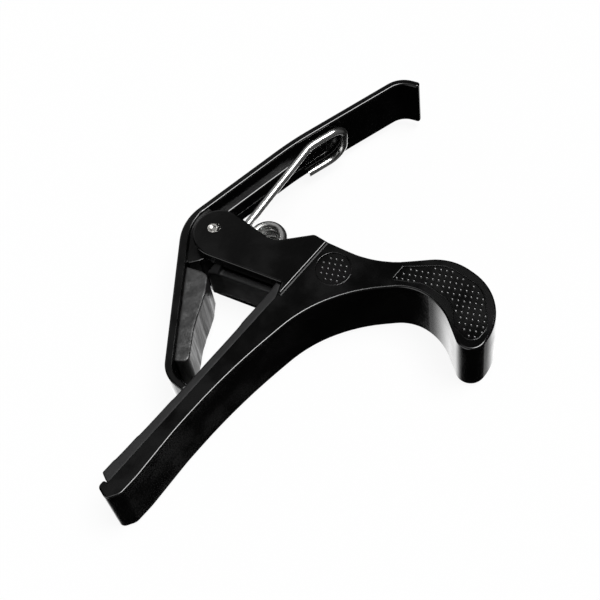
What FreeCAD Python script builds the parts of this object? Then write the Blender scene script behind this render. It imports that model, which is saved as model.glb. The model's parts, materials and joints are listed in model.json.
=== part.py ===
"""Trigger capo for a guitar: a handle casting with a fret bar, and a sprung lever with a jaw.

The capo lies on its side. X runs along the fret bar from its tip towards the handle, Y runs from the
bar towards the pivot, and Z is the width of the castings. Outlines are drawn in the XY plane with the
pivot pin at (0, 0), and everything is shifted at the end so that the origin is the middle of the
bottom of the bounding box. All sizes are in millimetres and degrees.
"""
import FreeCAD, Part
import math
import os

V = FreeCAD.Vector

# ---- driving dimensions ----
CHEEK_RAISE = 0.8          # how far the pivot cheeks stand proud of the bar and handle sides
BODY_WIDTH = 20.5          # bar and handle
WIDTH = BODY_WIDTH + 2 * CHEEK_RAISE
MIDDLE = WIDTH / 2
CHEEK = 3.5                # thickness of one cheek
SEAT_Y = -23.6             # top of the metal bar, under the rubber
STEP_Y = -24.1             # lower edge of the raised cheeks
EDGE_ROUND = 0.45          # rounding of the castings' side edges

CHEEK_END = V(-0.05, -2.1)     # centre of the cheeks' round end
CHEEK_END_R = 6.3
CHEEK_SLOPE = 15.9         # lean of the cheeks' neck side from upright
CHEEK_FOOT = V(-0.9, -22.4)

PIN_R = 1.2
PIN_RUNNING = 0.05         # radial clearance of the pin in the lever's lug
HUB_R = 4.8
LUG_SIDE_GAP = 0.2         # lug to cheek, each side

LEVER_WIDTH = 16.5
JAW_TOP = V(-0.68, 6.77)       # corner of the lever's inner faces, over the pivot
JAW_TIP = V(-33.3, -16.2)      # corner where the jaw's inner face turns down at its tip
RIB_WIDTH = 4.6
RIB_HEIGHT = 1.2
RIB_ROUND = 0.45           # rounding of the rib's lower edges
RIB_END_X = 38.5

WEB_INSET = 0.6            # the web's neck side lies this far inside the cheeks' edge
WEB_THICKNESS = 2.6
SLOT_FLOOR_Y = -15.5

LEG_WIDTH = 10.7           # rubber strip up the web
LEG_PROUD = 1.4
HEAD_PROUD = 2.1           # the strip is thickest at its upper end
HEAD_PLAY = 0.05           # the strip's wider end fills the gap between the cheeks but for this
FOOT_PLAY = 0.24           # clears the small fillet at the cheeks' foot
NECK_PAD_WIDTH = 15.0

WIRE_R = 1.0
COIL_CENTRE = V(7.75, -9.6)
COIL_R = 3.96              # to the middle of the wire
COIL_TURNS = 3
COIL_PITCH = 3.2
SPRING_NEAR_Z = 17.35      # level of the moving arm's wire
SPRING_FAR_Z = 5.2         # level of its returned free end
SPRING_FOOT_Y = -21.0
SPRING_HOLE_R = 1.2
SPRING_JOIN_GAP = 0.15     # between the wire's two solids, whose ends are not quite parallel

GRIP_DEPTH = 0.25          # sunk panels that the grip dots stand in

# ---- outlines as corners (x, y, corner radius), with the pivot at (0, 0) ----
BODY_OUTLINE = [
    (-62.4, SEAT_Y, 0),
    (-62.6, -22.3, 0.5),      # lip that holds the end of the rubber
    (-64.5, -22.3, 1.2),
    (-65.7, -25.8, 1.6),
    (-62.6, -27.75, 3.0),
    (-57.5, -27.9, 30.0),
    (-44.0, -27.2, 60.0),
    (-26.0, -27.2, 170.0),    # underside of the bar sweeping into the handle
    (-2.9, -30.66, 35.0),
    (8.2, -37.1, 41.0),
    (17.45, -46.85, 11.2),
    (17.45, -55.6, 14.0),
    (8.98, -68.9, 3.75),      # nose of the bulb
    (28.8, -68.9, 12.85),
    (28.8, -49.67, 13.0),
    (16.7, -36.6, 26.0),
    (14.1, SEAT_Y, 0),
]

CHEEK_BACK = [
    (13.9, STEP_Y, 0),
    (13.6, -20.4, 1.6),
    (6.25, -13.6, 4.0),
]

LEVER_OUTLINE = [
    (-35.1, -21.3, 0.8),      # tip of the jaw, outside
    (-35.1, -15.05, 7.0),
    (-2.1, 8.7, 12.0),        # over the pivot
    (31.0, 2.1, 80.0),
    (61.3, -7.7, 7.0),        # hooked finger end
    (63.2, -12.9, 0.6),
    (61.7, -13.4, 0.6),
    (60.1, -9.0, 5.4),
    (30.6, 0.5, 78.0),
    (JAW_TOP.x, JAW_TOP.y, 10.0),
    (JAW_TIP.x, JAW_TIP.y, 5.0),
    (JAW_TIP.x, -21.3, 0.8),  # tip of the jaw, inside
]

# neck pad, drawn along the jaw (distance from the corner over the pivot, thickness, radius)
NECK_PAD_OUTLINE = [
    (12.0, 0.0, 0),
    (13.7, 5.45, 1.8),
    (18.4, 5.5, 8.0),
    (27.5, 3.75, 14.0),
    (36.6, 3.5, 1.4),
    (36.6, 0.0, 0),
]

THUMB_SPOT = V(9.5, -29.5)
THUMB_SPOT_R = 4.3
GRIP_OUTLINE = [
    (15.6, -42.0, 0.4),
    (19.9, -42.0, 0.4),
    (26.6, -50.3, 8.0),
    (26.9, -60.4, 7.0),
    (19.6, -67.2, 4.0),
    (13.8, -66.9, 2.4),
    (15.2, -60.6, 1.6),
    (19.6, -56.8, 5.0),
    (19.6, -49.0, 6.0),
]


# ---- helpers ----
def rounded_edges(corners, closed=True):
    """Straight runs through the corners, with a tangent arc of the given radius at each."""
    points = [V(x, y, z) for x, y, z, _ in corners]
    count = len(corners)
    edges = []
    cursor = None
    first = None
    for i in range(count):
        corner = points[i]
        radius = corners[i][3]
        is_end = not closed and i in (0, count - 1)
        if radius == 0 or is_end:
            entry = corner
            leave = corner
            arc = None
        else:
            back = (points[i - 1] - corner).normalize()
            ahead = (points[(i + 1) % count] - corner).normalize()
            half_angle = back.getAngle(ahead) / 2
            tangent = radius / math.tan(half_angle)
            entry = corner + back * tangent
            leave = corner + ahead * tangent
            to_centre = (back + ahead).normalize()
            middle = corner + to_centre * (radius / math.sin(half_angle) - radius)
            arc = Part.Arc(entry, middle, leave).toShape()
        if cursor is not None and cursor.distanceToPoint(entry) > 1e-6:
            edges.append(Part.LineSegment(cursor, entry).toShape())
        if arc is not None:
            edges.append(arc)
        if first is None:
            first = entry
        cursor = leave
    if closed and cursor.distanceToPoint(first) > 1e-6:
        edges.append(Part.LineSegment(cursor, first).toShape())
    return edges


def flat_wire(corners, z=0.0):
    """Closed wire in the plane at height z, from (x, y, radius) corners."""
    return Part.Wire(rounded_edges([(x, y, z, r) for x, y, r in corners]))


def prism(corners, z_low, z_high):
    return Part.Face(flat_wire(corners, z_low)).extrude(V(0, 0, z_high - z_low))


def disc(centre, radius, z_low, z_high):
    return Part.makeCylinder(radius, z_high - z_low, V(centre.x, centre.y, z_low))


def round_side_edges(solid, radius, wanted=lambda middle: True):
    """Round the edges that lie in the solid's lowest and highest Z planes."""
    box = solid.BoundBox
    chosen = []
    for edge in solid.Edges:
        flat = edge.BoundBox.ZLength < 1e-6
        at_side = min(abs(edge.BoundBox.ZMin - box.ZMin), abs(edge.BoundBox.ZMax - box.ZMax)) < 1e-6
        if flat and at_side and wanted(edge.valueAt((edge.FirstParameter + edge.LastParameter) / 2)):
            chosen.append(edge)
    return solid.makeFillet(radius, chosen)


def neck_side(y, inset=0.0):
    """Point of the cheeks' sloping neck side at height y, moved inwards by inset."""
    lean = math.radians(CHEEK_SLOPE)
    x = CHEEK_FOOT.x - (y - CHEEK_FOOT.y) * math.tan(lean) + inset / math.cos(lean)
    return (x, y)


def neck_side_point(y, inset, z):
    return V(*neck_side(y, inset), z)


def on_jaw(along, depth):
    """Point at a distance along the jaw's inner face and a depth below it."""
    run = (JAW_TIP - JAW_TOP).normalize()
    inwards = V(-run.y, run.x)
    point = JAW_TOP + run * along + inwards * depth
    return (point.x, point.y)


# ---- handle casting ----
def cheek_wire_edges(z):
    """The raised cheek: round end, sloping neck side, foot and stepped back."""
    lean = math.radians(CHEEK_SLOPE)
    left = V(CHEEK_END.x - CHEEK_END_R * math.cos(lean), CHEEK_END.y - CHEEK_END_R * math.sin(lean), z)
    right = V(CHEEK_END.x + CHEEK_END_R, CHEEK_END.y, z)
    top = V(CHEEK_END.x, CHEEK_END.y + CHEEK_END_R, z)
    side = [(left.x, left.y, 0), (CHEEK_FOOT.x, CHEEK_FOOT.y, 0.4), (-4.6, STEP_Y, 0.3)]
    run = side + CHEEK_BACK + [(right.x, right.y, 0)]
    edges = rounded_edges([(x, y, z, r) for x, y, r in run], closed=False)
    edges.append(Part.Arc(right, top, left).toShape())
    return edges


def make_cheek(z_low, z_high, outer_z):
    """One cheek, rounded along the edge of its outer side."""
    cheek = Part.Face(Part.Wire(cheek_wire_edges(z_low))).extrude(V(0, 0, z_high - z_low))
    outer = [e for e in cheek.Edges if e.BoundBox.ZLength < 1e-6 and abs(e.BoundBox.ZMin - outer_z) < 1e-6]
    return cheek.makeFillet(EDGE_ROUND, outer)


def make_core():
    """Web behind the rubber strip and the floor under the spring, between the cheeks."""
    foot_x, foot_y = neck_side(STEP_Y, WEB_INSET)
    top_x, top_y = neck_side(-4.9, WEB_INSET)
    inner_x, inner_y = neck_side(SLOT_FLOOR_Y, WEB_INSET + WEB_THICKNESS)
    corners = [
        (foot_x, foot_y, 0),
        (top_x, top_y, 0.6),
        (top_x + WEB_THICKNESS, top_y, 0.6),
        (inner_x, inner_y, 0.8),
        (7.3, SLOT_FLOOR_Y, 1.0),
        (12.9, -20.6, 1.0),
        (13.6, STEP_Y, 0),
    ]
    return prism(corners, CHEEK - 0.5, WIDTH - CHEEK + 0.5)


def make_grip_panels():
    """Shallow sunk panels on both sides of the handle: a thumb spot and a long curved grip."""
    panels = []
    for z_low in (CHEEK_RAISE - 1.0, WIDTH - CHEEK_RAISE - GRIP_DEPTH):
        z_high = z_low + 1.0 + GRIP_DEPTH if z_low < 0 else z_low + 1.0
        panels.append(disc(THUMB_SPOT, THUMB_SPOT_R, z_low, z_high))
        panels.append(prism(GRIP_OUTLINE, z_low, z_high))
    return panels


def make_body_casting():
    blade = prism(BODY_OUTLINE, CHEEK_RAISE, CHEEK_RAISE + BODY_WIDTH)
    blade = round_side_edges(blade, EDGE_ROUND, wanted=lambda m: abs(m.y - SEAT_Y) > 0.05)
    body = blade.multiFuse([
        make_cheek(0.0, CHEEK, 0.0),
        make_cheek(WIDTH - CHEEK, WIDTH, WIDTH),
        make_core(),
    ])
    pin_hole = disc(V(0, 0), PIN_R, -1, WIDTH + 1)
    foot_hole = Part.makeCylinder(SPRING_HOLE_R, foot_length() + 0.4, foot_start(), foot_direction())
    body = body.cut(pin_hole.fuse(foot_hole))
    for panel in make_grip_panels():
        body = body.cut(panel)
    return body.removeSplitter()


# ---- lever casting ----
def make_lever_casting():
    z_low = MIDDLE - LEVER_WIDTH / 2
    z_high = MIDDLE + LEVER_WIDTH / 2
    plate = round_side_edges(prism(LEVER_OUTLINE, z_low, z_high), EDGE_ROUND)
    lug_low = CHEEK + LUG_SIDE_GAP
    lug_high = WIDTH - CHEEK - LUG_SIDE_GAP
    lug_outline = [
        (-9.7, 1.2, 0),
        (-9.5, -0.1, 0),
        (-7.5, -1.7, 0.8),
        (HUB_R, -7.65, HUB_R),    # round the pin
        (HUB_R, 6.3, 0),
        (-1.2, 6.9, 0),
    ]
    lug = round_side_edges(prism(lug_outline, lug_low, lug_high), 0.3)
    rib_outline = [
        (1.0, 6.7, 0),
        (30.8, 1.2, 0),
        (RIB_END_X + 1.0, -1.5, 0),
        (RIB_END_X, -2.6, 0.6),
        (30.45, 0.5 - RIB_HEIGHT, 60.0),
        (1.0, 6.4 - RIB_HEIGHT, 0),
    ]
    rib = prism(rib_outline, MIDDLE - RIB_WIDTH / 2, MIDDLE + RIB_WIDTH / 2)
    # only the lower edges, which stand out of the plate
    rib = round_side_edges(rib, RIB_ROUND, wanted=lambda m: m.y < 6.1 - 0.2 * m.x and m.x > 2)
    lever = plate.multiFuse([lug, rib])
    lever = lever.cut(disc(V(0, 0), PIN_R + PIN_RUNNING, -1, WIDTH + 1))
    return lever.removeSplitter()


# ---- pin ----
def make_pivot_pin():
    """Rivet pin with its ends dished where they were peened over."""
    pin = disc(V(0, 0), PIN_R, 0.05, WIDTH - 0.05)
    dish_r = 1.6
    for z, depth in ((0.05, 0.25), (WIDTH - 0.05, 0.25)):
        lift = dish_r - depth
        centre_z = z - lift if z < MIDDLE else z + lift
        pin = pin.cut(Part.makeSphere(dish_r, V(0, 0, centre_z)))
    return pin


# ---- rubber ----
def make_bar_pad():
    """L of rubber: the face that presses the strings, and a strip up the web beside the neck."""
    gap = 0.05
    inner_corner = V(CHEEK_FOOT.x - FOOT_PLAY, CHEEK_FOOT.y)
    high_x, high_y = neck_side(-21.2, -gap)
    left_end = V(-61.4, -20.8)
    bar_edges = [
        Part.LineSegment(V(-62.35, SEAT_Y), V(-62.35, -22.75)).toShape(),
        Part.LineSegment(V(-62.35, -22.75), left_end).toShape(),
        Part.Arc(left_end, V(-36.0, -21.7), V(high_x, high_y)).toShape(),
        Part.LineSegment(V(high_x, high_y), inner_corner).toShape(),
        Part.LineSegment(inner_corner, V(-4.4, SEAT_Y)).toShape(),
        Part.LineSegment(V(-4.4, SEAT_Y), V(-62.35, SEAT_Y)).toShape(),
    ]
    bar = Part.Face(Part.Wire(bar_edges)).extrude(V(0, 0, BODY_WIDTH))
    bar.translate(V(0, 0, CHEEK_RAISE))
    foot = neck_side(SEAT_Y, WEB_INSET)
    foot_out = neck_side(SEAT_Y, -LEG_PROUD)
    crease = neck_side(-7.6, -LEG_PROUD)
    end_out = neck_side(-4.2, -HEAD_PROUD)
    end_in = neck_side(-4.9, WEB_INSET)
    leg_outline = [(*foot, 0), (*foot_out, 0), (*crease, 0), (*end_out, 0.3), (*end_in, 0)]
    leg = prism(leg_outline, MIDDLE - LEG_WIDTH / 2, MIDDLE + LEG_WIDTH / 2)
    return bar.multiFuse([leg, make_strip_head(leg_outline)]).removeSplitter()


def make_strip_head(leg_outline):
    """The strip's wider end, sloping down to the cheeks at both sides."""
    low = CHEEK + HEAD_PLAY
    high = WIDTH - CHEEK - HEAD_PLAY
    strip_low = MIDDLE - LEG_WIDTH / 2
    strip_high = MIDDLE + LEG_WIDTH / 2
    start_y = -6.7
    section = [
        neck_side_point(start_y, WEB_INSET, low),
        neck_side_point(start_y, -HEAD_PROUD, strip_low),
        neck_side_point(start_y, -HEAD_PROUD, strip_high),
        neck_side_point(start_y, WEB_INSET, high),
    ]
    along = neck_side_point(-3.0, 0, 0) - neck_side_point(start_y, 0, 0)
    ridge = Part.Face(Part.makePolygon(section + section[:1])).extrude(along)
    return ridge.common(prism(leg_outline, low, high))


def make_neck_pad():
    corners = [(*on_jaw(along, depth), r) for along, depth, r in NECK_PAD_OUTLINE]
    return prism(corners, MIDDLE - NECK_PAD_WIDTH / 2, MIDDLE + NECK_PAD_WIDTH / 2)


# ---- torsion spring, one wire in two solids that part where the arm leaves the coil ----
def wire_along(edges):
    """Round wire swept along a chain of edges."""
    path = Part.Wire(edges)
    start = path.OrderedEdges[0]
    at = start.valueAt(start.FirstParameter)
    towards = start.tangentAt(start.FirstParameter)
    section = Part.Wire(Part.makeCircle(WIRE_R, at, towards))
    return path.makePipeShell([section], True, True)


def foot_start():
    """Where the last turn ends and the wire runs on straight into the casting."""
    return V(COIL_CENTRE.x - COIL_R, COIL_CENTRE.y, SPRING_NEAR_Z - COIL_TURNS * COIL_PITCH)


def foot_direction():
    """The turns climb along Z as they go round, and the foot keeps their slope."""
    return V(0, -2 * math.pi * COIL_R, -COIL_PITCH).normalize()


def foot_length():
    return (foot_start().y - SPRING_FOOT_Y) / -foot_direction().y


def make_spring_coil():
    """Three open turns and the straight foot that stands in the casting, swept as one wire."""
    height = COIL_TURNS * COIL_PITCH
    helix = Part.makeHelix(COIL_PITCH, height, COIL_R)
    helix.rotate(V(0, 0, 0), V(0, 0, 1), 180)
    helix = helix.mirror(V(0, 0, height / 2), V(0, 0, 1))
    helix.translate(V(COIL_CENTRE.x, COIL_CENTRE.y, foot_start().z))
    foot_end = foot_start() + foot_direction() * foot_length()
    foot = Part.LineSegment(foot_start(), foot_end).toShape()
    start = V(COIL_CENTRE.x - COIL_R, COIL_CENTRE.y, SPRING_NEAR_Z)
    section = Part.Wire(Part.makeCircle(WIRE_R, start, foot_direction()))
    return Part.Wire(helix.Edges + [foot]).makePipeShell([section], True, True)


def make_spring_arm():
    """The arm: up from the coil, along under the lever, and a flat U-bend round the lever's rib."""
    x0 = COIL_CENTRE.x - COIL_R
    near = SPRING_NEAR_Z
    far = SPRING_FAR_Z
    path = [
        (x0, COIL_CENTRE.y + SPRING_JOIN_GAP, near, 0),
        (x0, -4.3, near, 2.4),
        (33.2, -1.94, near, 8.0),
        (42.8, -4.97, near, 3.6),
        (42.1, -4.5, far, 5.0),
        (31.9, -1.3, far, 0),
    ]
    return wire_along(rounded_edges(path, closed=False))


PARTS = {
    "handle_casting": make_body_casting,
    "lever_casting": make_lever_casting,
    "pivot_pin": make_pivot_pin,
    "bar_pad": make_bar_pad,
    "neck_pad": make_neck_pad,
    "spring_coil": make_spring_coil,
    "spring_arm": make_spring_arm,
}


def main():
    os.makedirs("parts", exist_ok=True)
    shapes = {name: make() for name, make in PARTS.items()}
    box = FreeCAD.BoundBox()
    for shape in shapes.values():
        box.add(shape.optimalBoundingBox(False, False))
    shift = V(-box.Center.x, -box.Center.y, -box.ZMin)
    print("pivot is at", shift, "size", box.XLength, box.YLength, box.ZLength)
    for name, shape in shapes.items():
        solid = shape.Solids[0]
        solid.translate(shift)
        print(name, "solids", len(shape.Solids), "valid", solid.isValid(), "volume", round(solid.Volume, 1))
        solid.exportStep(f"parts/{name}.step")


main()
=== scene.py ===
"""Looks of the guitar capo: enamel, steel, rubber, spring wire, grip dots, studio and camera.

Sizes are millimetres from the pivot pin's axis in X and Y, and from the rest face in Z, as in the CAD
source. at() turns them into the frame's metres.
"""

import json
import math

import bmesh
import bpy
import numpy as np
from mathutils import Matrix, Vector, noise


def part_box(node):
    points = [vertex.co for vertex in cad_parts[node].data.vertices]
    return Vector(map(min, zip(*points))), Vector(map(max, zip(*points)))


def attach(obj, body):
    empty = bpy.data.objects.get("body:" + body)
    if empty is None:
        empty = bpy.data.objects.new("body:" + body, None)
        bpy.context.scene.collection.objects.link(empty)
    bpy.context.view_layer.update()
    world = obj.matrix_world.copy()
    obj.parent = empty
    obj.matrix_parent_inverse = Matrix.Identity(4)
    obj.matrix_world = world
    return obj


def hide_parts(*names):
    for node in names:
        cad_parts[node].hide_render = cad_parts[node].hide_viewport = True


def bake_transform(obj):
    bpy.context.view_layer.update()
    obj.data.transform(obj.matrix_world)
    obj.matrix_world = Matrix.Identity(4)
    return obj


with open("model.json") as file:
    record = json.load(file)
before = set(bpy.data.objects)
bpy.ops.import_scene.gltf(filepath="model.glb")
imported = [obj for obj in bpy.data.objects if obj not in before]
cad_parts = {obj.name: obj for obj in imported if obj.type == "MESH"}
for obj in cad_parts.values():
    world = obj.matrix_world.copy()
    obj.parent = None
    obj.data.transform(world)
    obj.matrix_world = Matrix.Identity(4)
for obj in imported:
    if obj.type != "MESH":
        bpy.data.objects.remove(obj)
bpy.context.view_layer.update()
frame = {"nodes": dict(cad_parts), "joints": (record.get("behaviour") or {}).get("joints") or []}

MM = 0.001
JOINT_AT = {joint["name"]: Vector(joint["pos_m"]) for joint in frame["joints"]}
PIVOT = JOINT_AT["lever_hinge"]
COIL_AXIS = (JOINT_AT["spring_arm_turn"] - PIVOT) / MM

# ---- castings, as in the CAD source ----
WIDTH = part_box("handle_casting")[1].z / MM
MIDDLE = WIDTH / 2
CHEEK = 3.5                         # thickness of one cheek
CHEEK_RAISE = 0.8                   # how far the cheeks stand proud of the bar and handle sides
GRIP_DEPTH = 0.25                   # sunk panels that the grip dots stand in
SEAT_Y = -23.6                      # top of the metal bar, under the rubber
CHEEK_FOOT = (-0.9, -22.4)
CHEEK_SLOPE = math.radians(15.9)    # lean of the cheeks' neck side from upright
WEB_INSET = 0.6                     # the web's neck side lies this far inside the cheeks' edge
JAW_TOP = Vector((-0.68, 6.77))     # corner of the lever's inner faces, over the pivot
JAW_TIP = Vector((-33.3, -16.2))    # corner where the jaw's inner face turns down at its tip
CHIPS_AT = (0.5, -0.6)              # middle of the chipped patch in the enamel round the pin

# ---- rubber strip up the web ----
STRIP_WIDTH = 10.7
STRIP_PROUD = 1.4
STRIP_CREASE_Y = -7.6               # from here to its end the strip gets thicker
STRIP_END_Y = -4.2
STRIP_BACK_Y = -4.9                 # its end on the web's side
HEAD_START_Y = -6.7                 # from here to its end the strip is wider
HEAD_START_PROUD = 1.6
HEAD_PROUD = 2.1

# ---- rubber on the fret bar ----
RUBBER_PLAY = 0.05                  # between the rubber and the cheeks
FOOT_PLAY = 0.24                    # the same at the cheeks' foot
BAR_END_X = -62.35                  # its end at the bar's tip
BAR_END_Y = -22.75                  # top of that end, beside the lip
BAR_TOP_LEFT = Vector((-61.4, -20.8))
BAR_TOP_RIGHT_Y = -21.2
BAR_SAG = 0.62                      # how far its top dips between those two ends
BAR_TOP_STEPS = 16
BAR_FOOT_X = -4.4                   # its lower corner, beside the cheeks' foot

# ---- spring wire ----
WIRE_R = 1.0
COIL_R = 3.96                       # to the middle of the wire
COIL_TURNS = 3
COIL_PITCH = 3.2
STEPS_PER_TURN = 48
SPRING_NEAR_Z = 17.35               # level of the moving arm's wire
SPRING_FAR_Z = 5.2                  # level of its returned free end
SPRING_FOOT_Y = -21.0
FOOT_STEPS = 6

# ---- grip panels ----
THUMB_SPOT = (9.5, -29.5)
THUMB_SPOT_R = 4.3
GRIP_DOT = (18.0, -45.0)            # place of one dot, from which the grip's lattice is counted
# corners of the grip's outline as (x, y, corner radius)
GRIP_OUTLINE = [
    (15.6, -42.0, 0.4),
    (19.9, -42.0, 0.4),
    (26.6, -50.3, 8.0),
    (26.9, -60.4, 7.0),
    (19.6, -67.2, 4.0),
    (13.8, -66.9, 2.4),
    (15.2, -60.6, 1.6),
    (19.6, -56.8, 5.0),
    (19.6, -49.0, 6.0),
]
DOT_PITCH = 1.38
DOT_LEAN = math.radians(26)         # turn of the lattice from the X axis
DOT_REACH = 24                      # dots each way that are tried against the outline
DOT_R = 0.38
DOT_HEIGHT = 0.26
DOT_SIDES = 10
# a dot's profile from its foot up as (share of the radius, share of the height)
DOT_ROWS = ((1.0, -0.02), (1.0, 0.6), (0.82, 0.78), (0.56, 0.9), (0.28, 0.973))
RIM_R = 0.16                        # bead round a panel

# ---- neck pad: corners as (distance along the jaw, thickness, corner radius) ----
NECK_PAD_WIDTH = 15.0
NECK_PAD_OUTLINE = [
    (12.05, 0.05, 0),
    (13.7, 5.45, 1.8),
    (18.4, 5.5, 8.0),
    (27.5, 3.75, 14.0),
    (36.6, 3.5, 1.4),
    (36.6, 0.05, 0),
]

RUBBER_VOXEL = 0.28                 # cell of the remesh that makes the rubbers' skin
RUBBER_SMOOTHING = 3                # passes that round its edges


# ---- geometry helpers ----
def at(x, y, z):
    """Place in the frame's metres."""
    return Vector((PIVOT.x + x * MM, PIVOT.y + y * MM, z * MM))


def neck_side(y, inset=0.0):
    """Point of the cheeks' sloping neck side at height y, moved inwards by inset."""
    x = CHEEK_FOOT[0] - (y - CHEEK_FOOT[1]) * math.tan(CHEEK_SLOPE) + inset / math.cos(CHEEK_SLOPE)
    return (x, y)


def on_jaw(along, depth):
    """Point at a distance along the jaw's inner face and a depth below it."""
    run = (JAW_TIP - JAW_TOP).normalized()
    point = JAW_TOP + run * along + Vector((-run.y, run.x)) * depth
    return (point.x, point.y)


def rounded_path(corners, closed=True, arc_step=math.radians(6)):
    """Points along straight runs, with a tangent arc at each corner.

    A corner is its point's coordinates, then its radius. The ends of an open path stay sharp.
    """
    points = [Vector(corner[:-1]) for corner in corners]
    path = []
    for i, corner in enumerate(points):
        radius = corners[i][-1]
        is_end = not closed and i in (0, len(points) - 1)
        if radius == 0 or is_end:
            path.append(corner)
            continue
        back = (points[i - 1] - corner).normalized()
        ahead = (points[(i + 1) % len(points)] - corner).normalized()
        half_angle = back.angle(ahead) / 2
        centre = corner + (back + ahead).normalized() * (radius / math.sin(half_angle))
        entry = corner + back * (radius / math.tan(half_angle)) - centre
        leave = corner + ahead * (radius / math.tan(half_angle)) - centre
        turn = math.pi - 2 * half_angle
        steps = max(2, math.ceil(turn / arc_step))
        for k in range(steps + 1):
            share = k / steps
            arm = entry * math.sin((1 - share) * turn) + leave * math.sin(share * turn)
            path.append(centre + arm / math.sin(turn))
    return path


def add_prism(bm, outline, z_low, z_high):
    """Adds a closed solid with the given outline between two heights."""
    low = [bm.verts.new(at(x, y, z_low)) for x, y in outline]
    high = [bm.verts.new(at(x, y, z_high)) for x, y in outline]
    bm.faces.new(low)
    bm.faces.new(list(reversed(high)))
    for i in range(len(low)):
        j = (i + 1) % len(low)
        bm.faces.new((low[j], low[i], high[i], high[j]))


def finish_mesh(bm, name):
    """Smooth shaded object from a bmesh, with its faces turned outwards."""
    bmesh.ops.recalc_face_normals(bm, faces=bm.faces)
    mesh = bpy.data.meshes.new(name)
    bm.to_mesh(mesh)
    bm.free()
    piece = bpy.data.objects.new(name, mesh)
    bpy.context.scene.collection.objects.link(piece)
    mesh.shade_smooth()
    return piece


def apply_modifiers(piece):
    """Turns the piece's modifiers into its mesh."""
    graph = bpy.context.evaluated_depsgraph_get()
    made = bpy.data.meshes.new_from_object(piece.evaluated_get(graph))
    piece.modifiers.clear()
    piece.data = made
    made.shade_smooth()


def soften(piece, voxel, smoothing):
    """Joins the piece's solids into one skin and rounds its edges, as moulded rubber."""
    remesh = piece.modifiers.new("skin", "REMESH")
    remesh.mode = "VOXEL"
    remesh.voxel_size = voxel * MM
    smooth = piece.modifiers.new("soft edges", "SMOOTH")
    smooth.factor = 0.5
    smooth.iterations = smoothing
    apply_modifiers(piece)


def wave_surface(piece, height, waves_per_mm, seed):
    """Moves the skin in and out a little, by seeded noise stretched by waves_per_mm along each axis."""
    stretch = Vector(waves_per_mm) / MM
    offset = Vector((seed, seed * 1.7, seed * 0.3))
    vertices = piece.data.vertices
    normals = [vertex.normal.copy() for vertex in vertices]
    for vertex, normal in zip(vertices, normals):
        place = Vector(a * b for a, b in zip(vertex.co, stretch)) + offset
        vertex.co += normal * (noise.noise(place) * height * MM)


def tube(name, points, radius, sides=16, closed=False):
    """Round bar along a line of points in metres."""
    curve = bpy.data.curves.new(name, "CURVE")
    curve.dimensions = "3D"
    curve.bevel_depth = radius * MM
    curve.bevel_resolution = sides // 4 - 1
    curve.use_fill_caps = not closed
    spline = curve.splines.new("POLY")
    spline.points.add(len(points) - 1)
    for spline_point, point in zip(spline.points, points):
        spline_point.co = (*point, 1)
    spline.use_cyclic_u = closed
    carrier = bpy.data.objects.new(name + "_line", curve)
    mesh = bpy.data.meshes.new_from_object(carrier)
    bpy.data.objects.remove(carrier)
    bpy.data.curves.remove(curve)
    mesh.name = name
    mesh.shade_smooth()
    piece = bpy.data.objects.new(name, mesh)
    bpy.context.scene.collection.objects.link(piece)
    return piece


def join(pieces, name):
    """One object from several meshes."""
    bm = bmesh.new()
    for piece in pieces:
        bm.from_mesh(piece.data)
        bpy.data.objects.remove(piece)
    return finish_mesh(bm, name)


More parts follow.
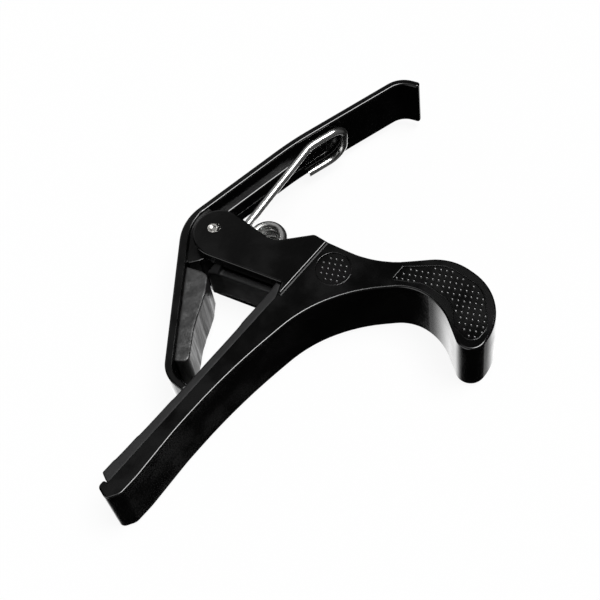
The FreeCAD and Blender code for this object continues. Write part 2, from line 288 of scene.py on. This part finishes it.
# ---- material helpers ----
class Shader:
    """A node material with a Principled surface and short calls for its inputs."""

    def __init__(self, name):
        self.material = bpy.data.materials.new(name)
        self.material.use_nodes = True
        self.tree = self.material.node_tree
        self.surface = self.tree.nodes["Principled BSDF"]
        self.place = self.node("ShaderNodeTexCoord").outputs["Object"]

    def node(self, kind, **settings):
        made = self.tree.nodes.new(kind)
        for key, value in settings.items():
            setattr(made, key, value)
        return made

    def feed(self, socket, value):
        if isinstance(value, bpy.types.NodeSocket):
            self.tree.links.new(value, socket)
        else:
            socket.default_value = value

    def constant(self, socket, value):
        self.surface.inputs[socket].default_value = value

    def output(self, socket, value):
        self.tree.links.new(value, self.surface.inputs[socket])

    def stretched(self, x, y, z):
        """Object coordinates in millimetres times a stretch along each axis."""
        made = self.node("ShaderNodeMapping")
        self.feed(made.inputs["Vector"], self.place)
        made.inputs["Scale"].default_value = (x / MM, y / MM, z / MM)
        return made.outputs["Vector"]

    def noise(self, vector, detail=2.0, roughness=0.5):
        made = self.node("ShaderNodeTexNoise")
        self.feed(made.inputs["Vector"], vector)
        made.inputs["Scale"].default_value = 1.0
        made.inputs["Detail"].default_value = detail
        made.inputs["Roughness"].default_value = roughness
        return made.outputs["Fac"]

    def spread(self, value, low, high, to_low=0.0, to_high=1.0):
        """Value between low and high, spread to the range to_low..to_high with soft ends."""
        made = self.node("ShaderNodeMapRange", interpolation_type="SMOOTHSTEP")
        self.feed(made.inputs["Value"], value)
        made.inputs["From Min"].default_value = low
        made.inputs["From Max"].default_value = high
        made.inputs["To Min"].default_value = to_low
        made.inputs["To Max"].default_value = to_high
        return made.outputs["Result"]

    def math(self, operation, a, b=0.0):
        made = self.node("ShaderNodeMath", operation=operation)
        self.feed(made.inputs[0], a)
        self.feed(made.inputs[1], b)
        return made.outputs[0]

    def colours(self, share, low, high):
        made = self.node("ShaderNodeMix", data_type="RGBA")
        self.feed(made.inputs["Factor"], share)
        self.feed(made.inputs["A"], low if not isinstance(low, tuple) else (*low, 1.0))
        self.feed(made.inputs["B"], high if not isinstance(high, tuple) else (*high, 1.0))
        return made.outputs["Result"]

    def bump(self, height, depth_mm, under=None):
        """Relief of the given depth, laid over another normal."""
        made = self.node("ShaderNodeBump")
        made.inputs["Distance"].default_value = depth_mm * MM
        made.inputs["Strength"].default_value = 1.0
        self.feed(made.inputs["Height"], height)
        if under is not None:
            self.feed(made.inputs["Normal"], under)
        return made.outputs["Normal"]

    def distance_from(self, x, y):
        """Distance in millimetres from an upright axis through (x, y), measured from the pivot."""
        flat = self.node("ShaderNodeVectorMath", operation="MULTIPLY")
        self.feed(flat.inputs[0], self.place)
        flat.inputs[1].default_value = (1 / MM, 1 / MM, 0)
        centre = at(x, y, 0) / MM
        away = self.node("ShaderNodeVectorMath", operation="DISTANCE")
        self.feed(away.inputs[0], flat.outputs[0])
        away.inputs[1].default_value = (centre.x, centre.y, 0)
        return away.outputs["Value"]


def black_enamel(name, chips_at=None):
    """Gloss black enamel over a casting: faint orange peel, and a few chips near chips_at, if given."""
    shader = Shader(name)
    cloud = shader.noise(shader.stretched(0.12, 0.12, 0.12), detail=3.0)
    peel = shader.noise(shader.stretched(1.1, 1.1, 1.1), detail=1.0)
    grain = shader.noise(shader.stretched(6.0, 6.0, 6.0), detail=2.0)
    colour = shader.colours(cloud, (0.0003, 0.0003, 0.0003), (0.0006, 0.0006, 0.0006))
    roughness = shader.spread(cloud, 0.35, 0.65, 0.13, 0.2)
    relief = shader.bump(peel, 0.006)
    relief = shader.bump(grain, 0.0008, relief)
    if chips_at is not None:
        near_pin = shader.spread(shader.distance_from(*chips_at), 1.0, 2.2, 1.0, 0.0)
        flecks = shader.noise(shader.stretched(2.3, 2.3, 2.3), detail=4.0, roughness=0.7)
        chips = shader.spread(shader.math("MULTIPLY", flecks, near_pin), 0.56, 0.6)
        colour = shader.colours(chips, colour, (0.7, 0.69, 0.66))
        roughness = shader.math("ADD", roughness, shader.math("MULTIPLY", chips, 0.15))
        relief = shader.bump(shader.math("SUBTRACT", 1.0, chips), 0.03, relief)
        shader.output("Metallic", chips)
    shader.output("Base Color", colour)
    shader.output("Roughness", roughness)
    shader.output("Normal", relief)
    shader.constant("Specular IOR Level", 0.5)
    return shader.material


def pin_steel():
    """Bare steel, streaked along the pin and dented a little by peening."""
    shader = Shader("pin_steel")
    streaks = shader.noise(shader.stretched(3.0, 3.0, 0.4), detail=4.0, roughness=0.6)
    dents = shader.noise(shader.stretched(1.6, 1.6, 1.6), detail=2.0)
    shader.output("Base Color", shader.colours(streaks, (0.42, 0.41, 0.39), (0.72, 0.71, 0.68)))
    shader.output("Roughness", shader.spread(streaks, 0.3, 0.7, 0.2, 0.42))
    shader.output("Normal", shader.bump(dents, 0.06))
    shader.constant("Metallic", 1.0)
    return shader.material


def plated_wire():
    """Plated spring wire, a little dulled by handling."""
    shader = Shader("plated_wire")
    smudge = shader.noise(shader.stretched(0.35, 0.35, 0.35), detail=3.0)
    shader.output("Base Color", shader.colours(smudge, (0.5, 0.5, 0.49), (0.72, 0.72, 0.71)))
    shader.output("Roughness", shader.spread(smudge, 0.3, 0.7, 0.22, 0.3))
    shader.output("Normal", shader.bump(smudge, 0.004))
    shader.constant("Metallic", 1.0)
    return shader.material


def bar_rubber():
    """Near black rubber with a fine moulded grain and faint specks of dust."""
    shader = Shader("bar_rubber")
    cloud = shader.noise(shader.stretched(0.25, 0.25, 0.25), detail=4.0, roughness=0.6)
    grain = shader.noise(shader.stretched(5.0, 5.0, 5.0), detail=3.0)
    ripple = shader.noise(shader.stretched(0.6, 0.6, 0.6), detail=2.0)
    dust = shader.spread(shader.noise(shader.stretched(2.1, 2.1, 2.1), detail=2.0), 0.68, 0.8)
    colour = shader.colours(cloud, (0.004, 0.004, 0.0043), (0.008, 0.008, 0.0083))
    colour = shader.colours(dust, colour, (0.009, 0.009, 0.009))
    relief = shader.bump(ripple, 0.02)
    relief = shader.bump(grain, 0.006, relief)
    shader.output("Base Color", colour)
    shader.output("Roughness", shader.spread(cloud, 0.3, 0.7, 0.5, 0.66))
    shader.output("Normal", relief)
    shader.constant("Specular IOR Level", 0.22)
    return shader.material


def neck_rubber():
    """Dark mottled rubber with streaks along Z, as if its face had been ground."""
    shader = Shader("neck_rubber")
    mottle = shader.noise(shader.stretched(0.7, 0.7, 0.7), detail=4.0, roughness=0.65)
    streaks = shader.noise(shader.stretched(1.4, 1.4, 0.07), detail=3.0, roughness=0.6)
    grain = shader.noise(shader.stretched(6.0, 6.0, 6.0), detail=3.0)
    colour = shader.colours(mottle, (0.008, 0.008, 0.008), (0.03, 0.03, 0.03))
    relief = shader.bump(streaks, 0.03)
    relief = shader.bump(grain, 0.008, relief)
    shader.output("Base Color", colour)
    shader.output("Roughness", shader.spread(streaks, 0.3, 0.7, 0.28, 0.44))
    shader.output("Normal", relief)
    return shader.material


def paint(piece, material):
    piece.data.materials.clear()
    piece.data.materials.append(material)


def paint_node(node, material):
    """Gives a CAD node a material in its existing slots."""
    for slot in frame["nodes"][node].material_slots:
        slot.material = material


# ---- rubber ----
def strip_outline():
    """The strip up the web, seen from the side: flat, then rising from a crease to its end."""
    return [
        neck_side(SEAT_Y, WEB_INSET),
        neck_side(SEAT_Y, -STRIP_PROUD),
        neck_side(STRIP_CREASE_Y, -STRIP_PROUD),
        neck_side(STRIP_END_Y, -HEAD_PROUD),
        neck_side(STRIP_BACK_Y, WEB_INSET),
    ]


def add_strip_head(bm):
    """The strip's wider end: a ridge with sides that slope to the cheeks, rising towards the end."""
    edge = CHEEK + RUBBER_PLAY
    inner = MIDDLE - STRIP_WIDTH / 2
    slope = (inner - edge) / (HEAD_PROUD + WEB_INSET)
    rows = []
    ends = ((HEAD_START_Y, HEAD_START_Y, HEAD_START_PROUD), (STRIP_END_Y, STRIP_BACK_Y, HEAD_PROUD))
    for y, back_y, proud in ends:
        brow = edge + slope * (proud + WEB_INSET)
        rows.append([
            bm.verts.new(at(*neck_side(back_y, WEB_INSET), edge)),
            bm.verts.new(at(*neck_side(y, -proud), brow)),
            bm.verts.new(at(*neck_side(y, -proud), WIDTH - brow)),
            bm.verts.new(at(*neck_side(back_y, WEB_INSET), WIDTH - edge)),
        ])
    start, end = rows
    bm.faces.new(start)
    bm.faces.new(list(reversed(end)))
    for i in range(4):
        j = (i + 1) % 4
        bm.faces.new((start[j], start[i], end[i], end[j]))


def bar_outline():
    """Rubber on the fret bar, seen from the side, with its top dipping along a shallow parabola."""
    right = Vector(neck_side(BAR_TOP_RIGHT_Y, -RUBBER_PLAY))
    top = []
    for step in range(BAR_TOP_STEPS + 1):
        dip = BAR_SAG * 4 * step / BAR_TOP_STEPS * (1 - step / BAR_TOP_STEPS)
        top.append(tuple(BAR_TOP_LEFT.lerp(right, step / BAR_TOP_STEPS) - Vector((0, dip))))
    return [
        (BAR_END_X, SEAT_Y),
        (BAR_END_X, BAR_END_Y),
        *top,
        (CHEEK_FOOT[0] - FOOT_PLAY, CHEEK_FOOT[1]),
        (BAR_FOOT_X, SEAT_Y),
    ]


def make_bar_rubber():
    """The L of rubber on the bar and up the web, softened, in place of the CAD piece."""
    bm = bmesh.new()
    add_prism(bm, bar_outline(), CHEEK_RAISE, WIDTH - CHEEK_RAISE)
    inner = MIDDLE - STRIP_WIDTH / 2
    add_prism(bm, strip_outline(), inner, WIDTH - inner)
    add_strip_head(bm)
    piece = finish_mesh(bm, "bar_rubber")
    soften(piece, RUBBER_VOXEL, RUBBER_SMOOTHING)
    wave_surface(piece, height=0.05, waves_per_mm=(0.16, 0.3, 0.3), seed=4.0)
    paint(piece, bar_rubber())
    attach(piece, "handle_body")
    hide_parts("bar_pad")
    return piece


def make_neck_rubber():
    """The pad that presses on the neck, softened, in place of the CAD piece."""
    outline = rounded_path([(*on_jaw(along, depth), r) for along, depth, r in NECK_PAD_OUTLINE])
    bm = bmesh.new()
    add_prism(bm, outline, MIDDLE - NECK_PAD_WIDTH / 2, MIDDLE + NECK_PAD_WIDTH / 2)
    piece = finish_mesh(bm, "neck_rubber")
    soften(piece, RUBBER_VOXEL, RUBBER_SMOOTHING)
    wave_surface(piece, height=0.09, waves_per_mm=(0.45, 0.45, 0.03), seed=9.0)
    paint(piece, neck_rubber())
    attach(piece, "lever")
    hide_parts("neck_pad")
    return piece


# ---- spring ----
def spring_route():
    """The wire's middle line: sloping foot, three turns, arm and U-bend."""
    x0 = COIL_AXIS.x - COIL_R
    low_z = SPRING_NEAR_Z - COIL_TURNS * COIL_PITCH
    slope = COIL_PITCH / (2 * math.pi * COIL_R)
    foot = []
    for y in np.linspace(SPRING_FOOT_Y, COIL_AXIS.y, FOOT_STEPS, endpoint=False):
        foot.append(at(x0, y, low_z + (y - COIL_AXIS.y) * slope))
    turns = []
    for step in range(COIL_TURNS * STEPS_PER_TURN + 1):
        angle = math.pi - 2 * math.pi * step / STEPS_PER_TURN
        x = COIL_AXIS.x + COIL_R * math.cos(angle)
        y = COIL_AXIS.y + COIL_R * math.sin(angle)
        turns.append(at(x, y, low_z + COIL_PITCH * step / STEPS_PER_TURN))
    arm = rounded_path([
        (x0, COIL_AXIS.y, SPRING_NEAR_Z, 0),
        (x0, -4.3, SPRING_NEAR_Z, 2.4),
        (33.2, -1.94, SPRING_NEAR_Z, 8.0),
        (42.8, -4.97, SPRING_NEAR_Z, 3.6),
        (42.1, -4.5, SPRING_FAR_Z, 5.0),
        (31.9, -1.3, SPRING_FAR_Z, 0),
    ], closed=False)
    return foot + turns + [at(*point) for point in arm[1:]]


def make_spring_wire():
    """The whole wire as one piece, foot, turns and arm, in place of the CAD coil and arm."""
    piece = tube("spring_wire", spring_route(), WIRE_R)
    paint(piece, plated_wire())
    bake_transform(piece)
    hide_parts("spring_coil", "spring_arm")
    return piece


# ---- grip panels ----
def inside(point, outline):
    """Whether a point lies in a closed outline, by counting crossings."""
    x, y = point
    crossings = 0
    for (ax, ay), (bx, by) in zip(outline, outline[1:] + outline[:1]):
        if (ay > y) != (by > y) and x < ax + (y - ay) * (bx - ax) / (by - ay):
            crossings += 1
    return crossings % 2 == 1


def gap_to(point, outline):
    """Distance from a point to an outline."""
    here = Vector(point)
    nearest = math.inf
    for a, b in zip(outline, outline[1:] + outline[:1]):
        a = Vector(a)
        run = Vector(b) - a
        share = 0.0 if run.length == 0 else max(0.0, min(1.0, (here - a).dot(run) / run.length_squared))
        nearest = min(nearest, (a + run * share - here).length)
    return nearest


def dot_places(outline, origin):
    """Places of a square lattice of dots that stand clear of the panel's edge."""
    across = Vector((math.cos(DOT_LEAN), math.sin(DOT_LEAN))) * DOT_PITCH
    up = Vector((-across.y, across.x))
    places = []
    for i in range(-DOT_REACH, DOT_REACH + 1):
        for j in range(-DOT_REACH, DOT_REACH + 1):
            place = tuple(Vector(origin) + across * i + up * j)
            if inside(place, outline) and gap_to(place, outline) > RIM_R / 2 + DOT_R:
                places.append(place)
    return places


def add_dot(bm, x, y, z, side):
    """A low dome standing out along side * Z."""
    rings = []
    for wide, tall in DOT_ROWS:
        offset = DOT_R * wide
        level = z + side * DOT_HEIGHT * tall
        ring = []
        for k in range(DOT_SIDES):
            angle = 2 * math.pi * k / DOT_SIDES
            ring.append(bm.verts.new(at(x + offset * math.cos(angle), y + offset * math.sin(angle), level)))
        rings.append(ring)
    top = bm.verts.new(at(x, y, z + side * DOT_HEIGHT))
    for low, high in zip(rings, rings[1:]):
        for k in range(DOT_SIDES):
            after = (k + 1) % DOT_SIDES
            bm.faces.new((low[k], low[after], high[after], high[k]))
    for k in range(DOT_SIDES):
        bm.faces.new((rings[-1][k], rings[-1][(k + 1) % DOT_SIDES], top))


def grip_panels():
    """The two panels as (outline, place of one dot)."""
    spot_x, spot_y = THUMB_SPOT
    spot = []
    for degrees in range(0, 360, 5):
        angle = math.radians(degrees)
        spot.append((spot_x + THUMB_SPOT_R * math.cos(angle), spot_y + THUMB_SPOT_R * math.sin(angle)))
    grip = [tuple(point) for point in rounded_path(GRIP_OUTLINE)]
    return [(spot, THUMB_SPOT), (grip, GRIP_DOT)]


def make_grips(enamel):
    """Raised dots and a thin bead round each panel, on both sides of the handle."""
    dots = bmesh.new()
    beads = []
    for side in (-1, 1):
        face_z = CHEEK_RAISE if side < 0 else WIDTH - CHEEK_RAISE
        floor_z = face_z - side * GRIP_DEPTH
        for outline, origin in grip_panels():
            for x, y in dot_places(outline, origin):
                add_dot(dots, x, y, floor_z, side)
            line = [at(x, y, face_z - side * RIM_R * 0.5) for x, y in outline]
            beads.append(tube("bead", line, RIM_R, sides=8, closed=True))
    pieces = [finish_mesh(dots, "grip_dots"), join(beads, "grip_beads")]
    for piece in pieces:
        paint(piece, enamel)
        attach(piece, "handle_body")
    return pieces


# ---- studio ----
# soft lights as (direction towards the light, degrees off it to which the light is full, degrees off
# it at which the light is gone, brightness)
LIGHTS = [
    ((0.19, -0.22, 1.0), 8, 18, 28.0),       # high lamp, a little off the vertical
    ((0.0, 0.0, 1.0), 10, 20, 2.0),          # its dim surround
    ((0.25, 0.85, 0.45), 28, 42, 0.42),      # wide panel behind, beyond the lever
    ((-1.0, 0.0, -0.08), 18, 42, 2.3),       # side panel at the bar's tip
    ((0.264, 0.352, -0.9), 14, 36, 2.2),     # light thrown back by the table, far side
    ((0.28, 0.85, -0.3), 22, 38, 0.3),       # lower edge of the panel behind
    ((-0.1, -0.9, 0.25), 50, 72, 0.12),      # dim room in front
]
FILL = 0.006                                 # dim light from every side
FLOOR_HALF = 3.0                             # metres from the floor's middle to its edges


def make_studio():
    """Soft lights round the capo over a dim even fill; the camera sees a white backdrop."""
    world = bpy.data.worlds.new("studio")
    bpy.context.scene.world = world
    world.use_nodes = True
    tree = world.node_tree
    tree.nodes.clear()
    direction = tree.nodes.new("ShaderNodeTexCoord").outputs["Generated"]

    total = None
    for towards, full, gone, brightness in LIGHTS:
        facing = tree.nodes.new("ShaderNodeVectorMath")
        facing.operation = "DOT_PRODUCT"
        facing.inputs[1].default_value = Vector(towards).normalized()
        tree.links.new(direction, facing.inputs[0])
        light = tree.nodes.new("ShaderNodeMapRange")
        light.interpolation_type = "SMOOTHSTEP"
        light.inputs["From Min"].default_value = math.cos(math.radians(gone))
        light.inputs["From Max"].default_value = math.cos(math.radians(full))
        light.inputs["To Max"].default_value = brightness
        tree.links.new(facing.outputs["Value"], light.inputs["Value"])
        added = tree.nodes.new("ShaderNodeMath")
        added.inputs[1].default_value = FILL
        if total is not None:
            tree.links.new(total, added.inputs[1])
        tree.links.new(light.outputs["Result"], added.inputs[0])
        total = added.outputs[0]

    studio = tree.nodes.new("ShaderNodeBackground")
    tree.links.new(total, studio.inputs["Strength"])
    backdrop = tree.nodes.new("ShaderNodeBackground")
    backdrop.inputs["Color"].default_value = (1.0, 1.0, 1.0, 1.0)
    chooser = tree.nodes.new("ShaderNodeMixShader")
    seen = tree.nodes.new("ShaderNodeLightPath").outputs["Is Camera Ray"]
    tree.links.new(seen, chooser.inputs["Fac"])
    tree.links.new(studio.outputs[0], chooser.inputs[1])
    tree.links.new(backdrop.outputs[0], chooser.inputs[2])
    output = tree.nodes.new("ShaderNodeOutputWorld")
    tree.links.new(chooser.outputs[0], output.inputs["Surface"])


def make_floor():
    """Pale glowing floor for the camera to see; it lights nothing and shows in no reflection."""
    bm = bmesh.new()
    corners = ((-1, -1), (1, -1), (1, 1), (-1, 1))
    bm.faces.new([bm.verts.new((x * FLOOR_HALF, y * FLOOR_HALF, 0)) for x, y in corners])
    floor = finish_mesh(bm, "floor")
    shader = Shader("floor")
    cloud = shader.noise(shader.stretched(0.01, 0.01, 0.01), detail=2.0)
    shader.output("Base Color", shader.colours(cloud, (0.05, 0.05, 0.05), (0.052, 0.052, 0.052)))
    shader.constant("Roughness", 0.9)
    shader.constant("Specular IOR Level", 0.0)
    shader.constant("Emission Color", (1.0, 1.0, 1.0, 1.0))
    shader.constant("Emission Strength", 0.92)
    paint(floor, shader.material)
    floor.visible_glossy = False
    floor.visible_diffuse = False


# ---- camera ----
def make_camera():
    """Camera looking down on the capo from the fret bar's side, turned a little about its own axis."""
    azimuth = math.radians(-39.44)
    elevation = math.radians(64.0)
    roll = math.radians(11.592)
    distance = 0.39094      # metres from the target
    target = PIVOT + Vector((1.662, -24.681, 0)) * MM
    back = Vector((
        math.sin(azimuth) * math.cos(elevation),
        -math.cos(azimuth) * math.cos(elevation),
        math.sin(elevation),
    ))
    level_right = Vector((0, 0, 1)).cross(back).normalized()
    level_up = back.cross(level_right)
    up = level_up * math.cos(roll) + level_right * math.sin(roll)
    right = up.cross(back)
    data = bpy.data.cameras.new("camera")
    data.lens = 97.92
    data.sensor_width = 36.0
    data.clip_start = 0.01
    data.clip_end = 20.0
    camera = bpy.data.objects.new("camera", data)
    turned = Matrix((right, up, back)).transposed().to_4x4()
    camera.matrix_world = Matrix.Translation(target + back * distance) @ turned
    bpy.context.scene.collection.objects.link(camera)
    bpy.context.scene.camera = camera


make_camera()
make_studio()
make_floor()

handle_enamel = black_enamel("handle_enamel", chips_at=CHIPS_AT)
lever_enamel = black_enamel("lever_enamel")
paint_node("handle_casting", handle_enamel)
paint_node("lever_casting", lever_enamel)
paint_node("pivot_pin", pin_steel())
make_bar_rubber()
make_neck_rubber()
make_spring_wire()
make_grips(handle_enamel)

bpy.context.scene.view_settings.view_transform = "Standard"
